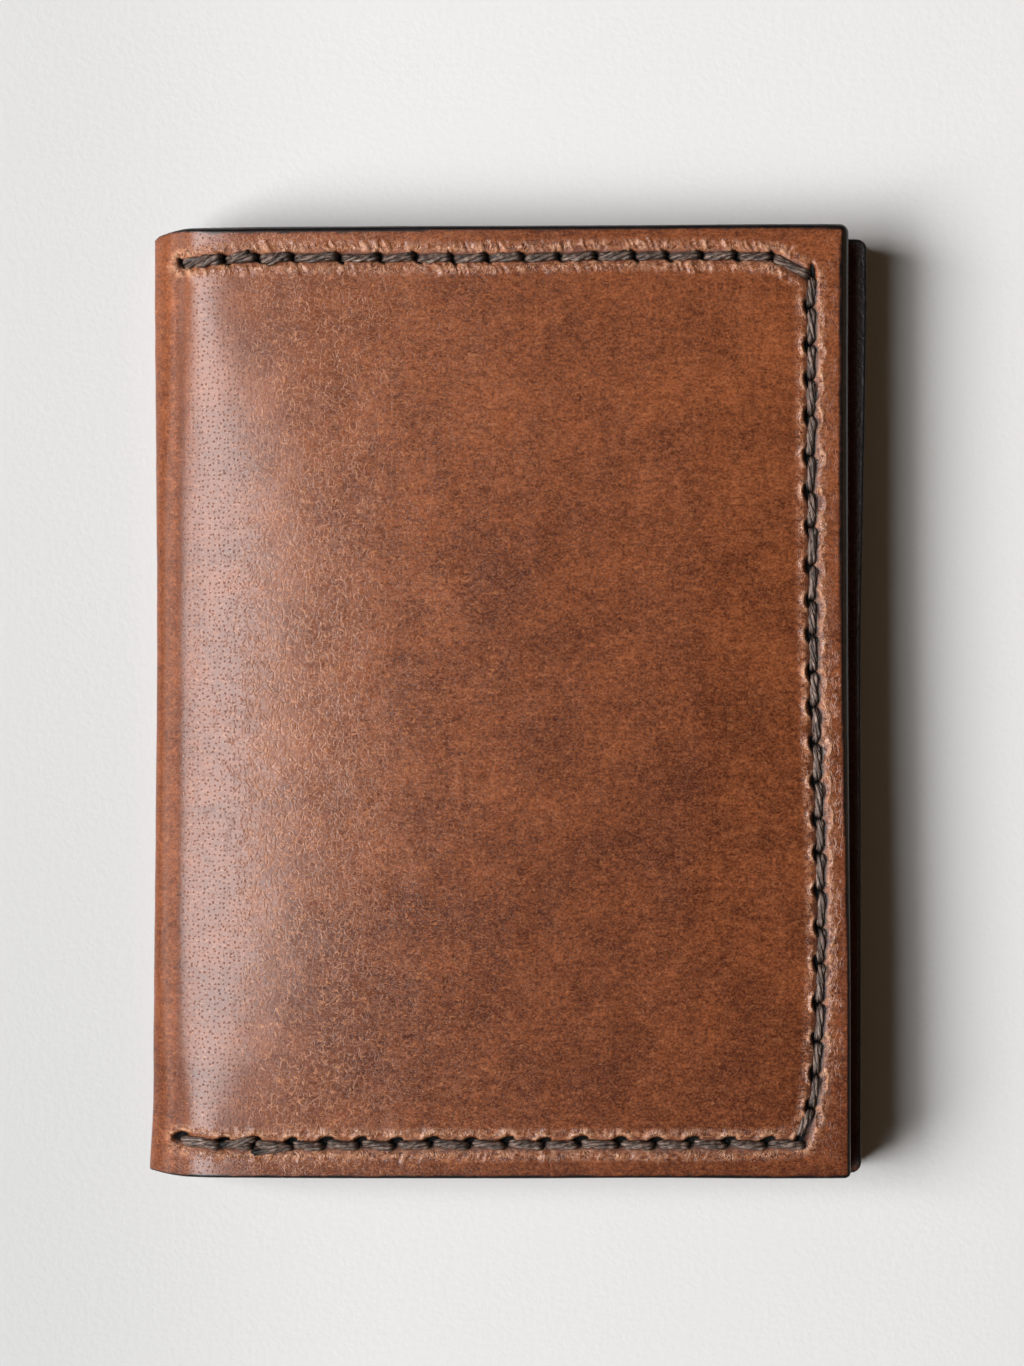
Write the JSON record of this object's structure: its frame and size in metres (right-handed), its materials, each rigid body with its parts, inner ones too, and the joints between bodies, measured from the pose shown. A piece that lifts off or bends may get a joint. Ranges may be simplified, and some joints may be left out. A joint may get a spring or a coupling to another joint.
{
  "type": "card holder",
  "caption": "Book-style leather card holder that folds at a rounded spine, with stepped card pockets facing the fold and a hand-stitched seam round three edges of each leaf.",
  "frame": {"origin": "bottom centre of the closed holder as it lies on its back leaf", "axes": "+X from the spine towards the opening edges, +Y up the height of the leaves, +Z through the thickness towards the front leaf's outer face"},
  "size_m": [0.0794, 0.1054, 0.0086],
  "materials": {
    "cover_leather": "waxed full-grain, satin sheen, burnished dark edges",
    "lining_leather": "smooth thin lining leather, low sheen",
    "pocket_leather": "smooth pocket leather with creased and burnished mouths",
    "waxed_thread": "twisted waxed thread"
  },
  "bodies": {
    "back_leaf": {"back_cover": "cover_leather", "back_lining": "lining_leather", "back_first_pocket": "pocket_leather", "back_second_pocket": "pocket_leather", "back_third_pocket": "pocket_leather", "back_seam_thread": "waxed_thread", "back_first_base_thread": "waxed_thread", "back_second_base_thread": "waxed_thread"},
    "spine": {"spine_cover": "cover_leather"},
    "front_leaf": {"front_cover": "cover_leather", "front_lining": "lining_leather", "front_first_pocket": "pocket_leather", "front_second_pocket": "pocket_leather", "front_third_pocket": "pocket_leather", "front_seam_thread": "waxed_thread", "front_first_base_thread": "waxed_thread", "front_second_base_thread": "waxed_thread"}
  },
  "joints": [
    {"name": "back_fold", "type": "hinge", "parent": "back_leaf", "child": "spine", "pos_m": [-0.03923, 0, 0.00201], "axis": [0, -1, 0], "range_deg": [0, 90]},
    {"name": "front_fold", "type": "hinge", "parent": "spine", "child": "front_leaf", "pos_m": [-0.03923, 0, 0.00658], "axis": [0, -1, 0], "range_deg": [0, 90]}
  ],
  "couplings": [
    {"joint": "front_fold", "follows": "back_fold", "ratio": 1}
  ]
}
